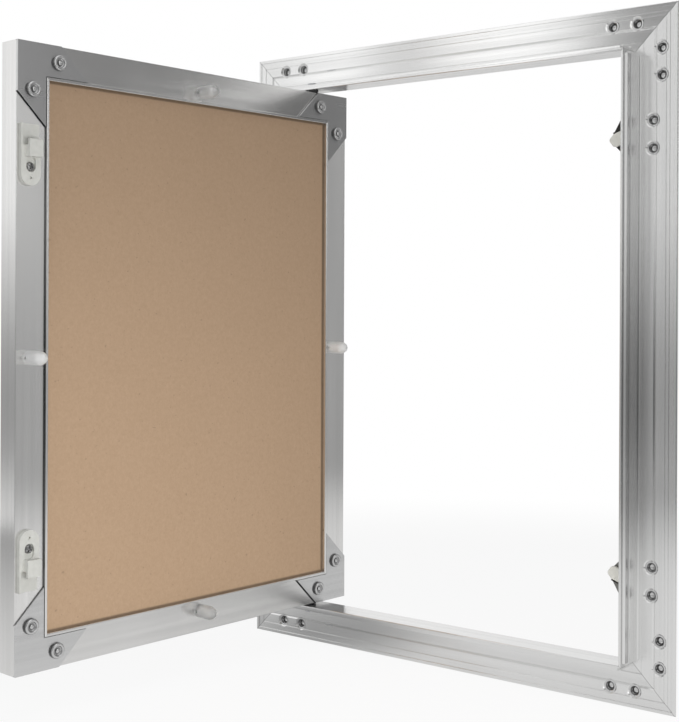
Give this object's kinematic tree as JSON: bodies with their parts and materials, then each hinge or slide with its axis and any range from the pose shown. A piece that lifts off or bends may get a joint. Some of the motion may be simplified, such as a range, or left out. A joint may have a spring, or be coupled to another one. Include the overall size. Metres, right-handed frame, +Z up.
{
  "type": "ceiling access panel",
  "caption": "Flush access panel for a plasterboard ceiling or wall: a mitred aluminium frame and a board-filled door that swings on pivot pins and is held by snap latches.",
  "frame": {"origin": "centre of the opening, on the front face of the frame's flange", "axes": "+X across the opening from the hinge side to the latch side, +Z up along the hinge axis, -Y out of the opening into the room"},
  "size_m": [0.366, 0.2984, 0.466],
  "materials": {
    "mill_aluminium": "mill finish extrusion",
    "plate_aluminium": "rolled sheet",
    "rivet_aluminium": "satin",
    "zinc_steel": "zinc plated",
    "black_steel": "black oxide",
    "white_plastic": "moulded",
    "black_plastic": "moulded",
    "clear_plastic": "translucent moulded",
    "paper_board": "kraft paper face"
  },
  "bodies": {
    "frame": {"frame_top_rail": "mill_aluminium", "frame_bottom_rail": "mill_aluminium", "frame_hinge_jamb": "mill_aluminium", "frame_latch_jamb": "mill_aluminium", "cleat_top_hinge": "zinc_steel", "cleat_top_latch": "zinc_steel", "cleat_bottom_hinge": "zinc_steel", "cleat_bottom_latch": "zinc_steel", "corner_eyelets": "zinc_steel", "latch_eyelets": "zinc_steel", "hinge_bracket_top": "zinc_steel", "hinge_bracket_bottom": "zinc_steel", "hinge_pin_top": "zinc_steel", "hinge_pin_bottom": "zinc_steel", "latch_bracket_upper": "black_steel", "latch_bracket_lower": "black_steel", "latch_pin_upper": "zinc_steel", "latch_pin_lower": "zinc_steel", "latch_spring_upper": "black_steel", "latch_spring_lower": "black_steel"},
    "door": {"door_top_rail": "mill_aluminium", "door_bottom_rail": "mill_aluminium", "door_hinge_stile": "mill_aluminium", "door_latch_stile": "mill_aluminium", "door_board": "paper_board", "corner_plate_top_hinge": "plate_aluminium", "corner_plate_top_latch": "plate_aluminium", "corner_plate_bottom_hinge": "plate_aluminium", "corner_plate_bottom_latch": "plate_aluminium", "door_rivets": "rivet_aluminium", "hinge_bush_top": "black_plastic", "hinge_bush_bottom": "black_plastic", "strike_upper": "white_plastic", "strike_lower": "white_plastic", "strike_screws": "zinc_steel", "stop_peg_free": "clear_plastic", "stop_peg_hinge": "clear_plastic", "stop_peg_top": "clear_plastic", "stop_peg_bottom": "clear_plastic"},
    "upper_latch_lever": {"latch_hook_upper": "white_plastic"},
    "lower_latch_lever": {"latch_hook_lower": "white_plastic"}
  },
  "joints": [
    {"name": "door_hinge", "type": "hinge", "parent": "frame", "child": "door", "pos_m": [-0.119, -0.009, 0], "axis": [0, 0, 1], "range_deg": [-15, 95]},
    {"name": "upper_latch_lever_turn", "type": "hinge", "parent": "frame", "child": "upper_latch_lever", "pos_m": [0.1525, 0.0034, 0.1515], "axis": [0, -1, 0], "range_deg": [0, 27], "stiffness_Nm_per_rad": 0.05},
    {"name": "lower_latch_lever_turn", "type": "hinge", "parent": "frame", "child": "lower_latch_lever", "pos_m": [0.1525, 0.0034, -0.1515], "axis": [0, 1, 0], "range_deg": [0, 27], "stiffness_Nm_per_rad": 0.05}
  ]
}
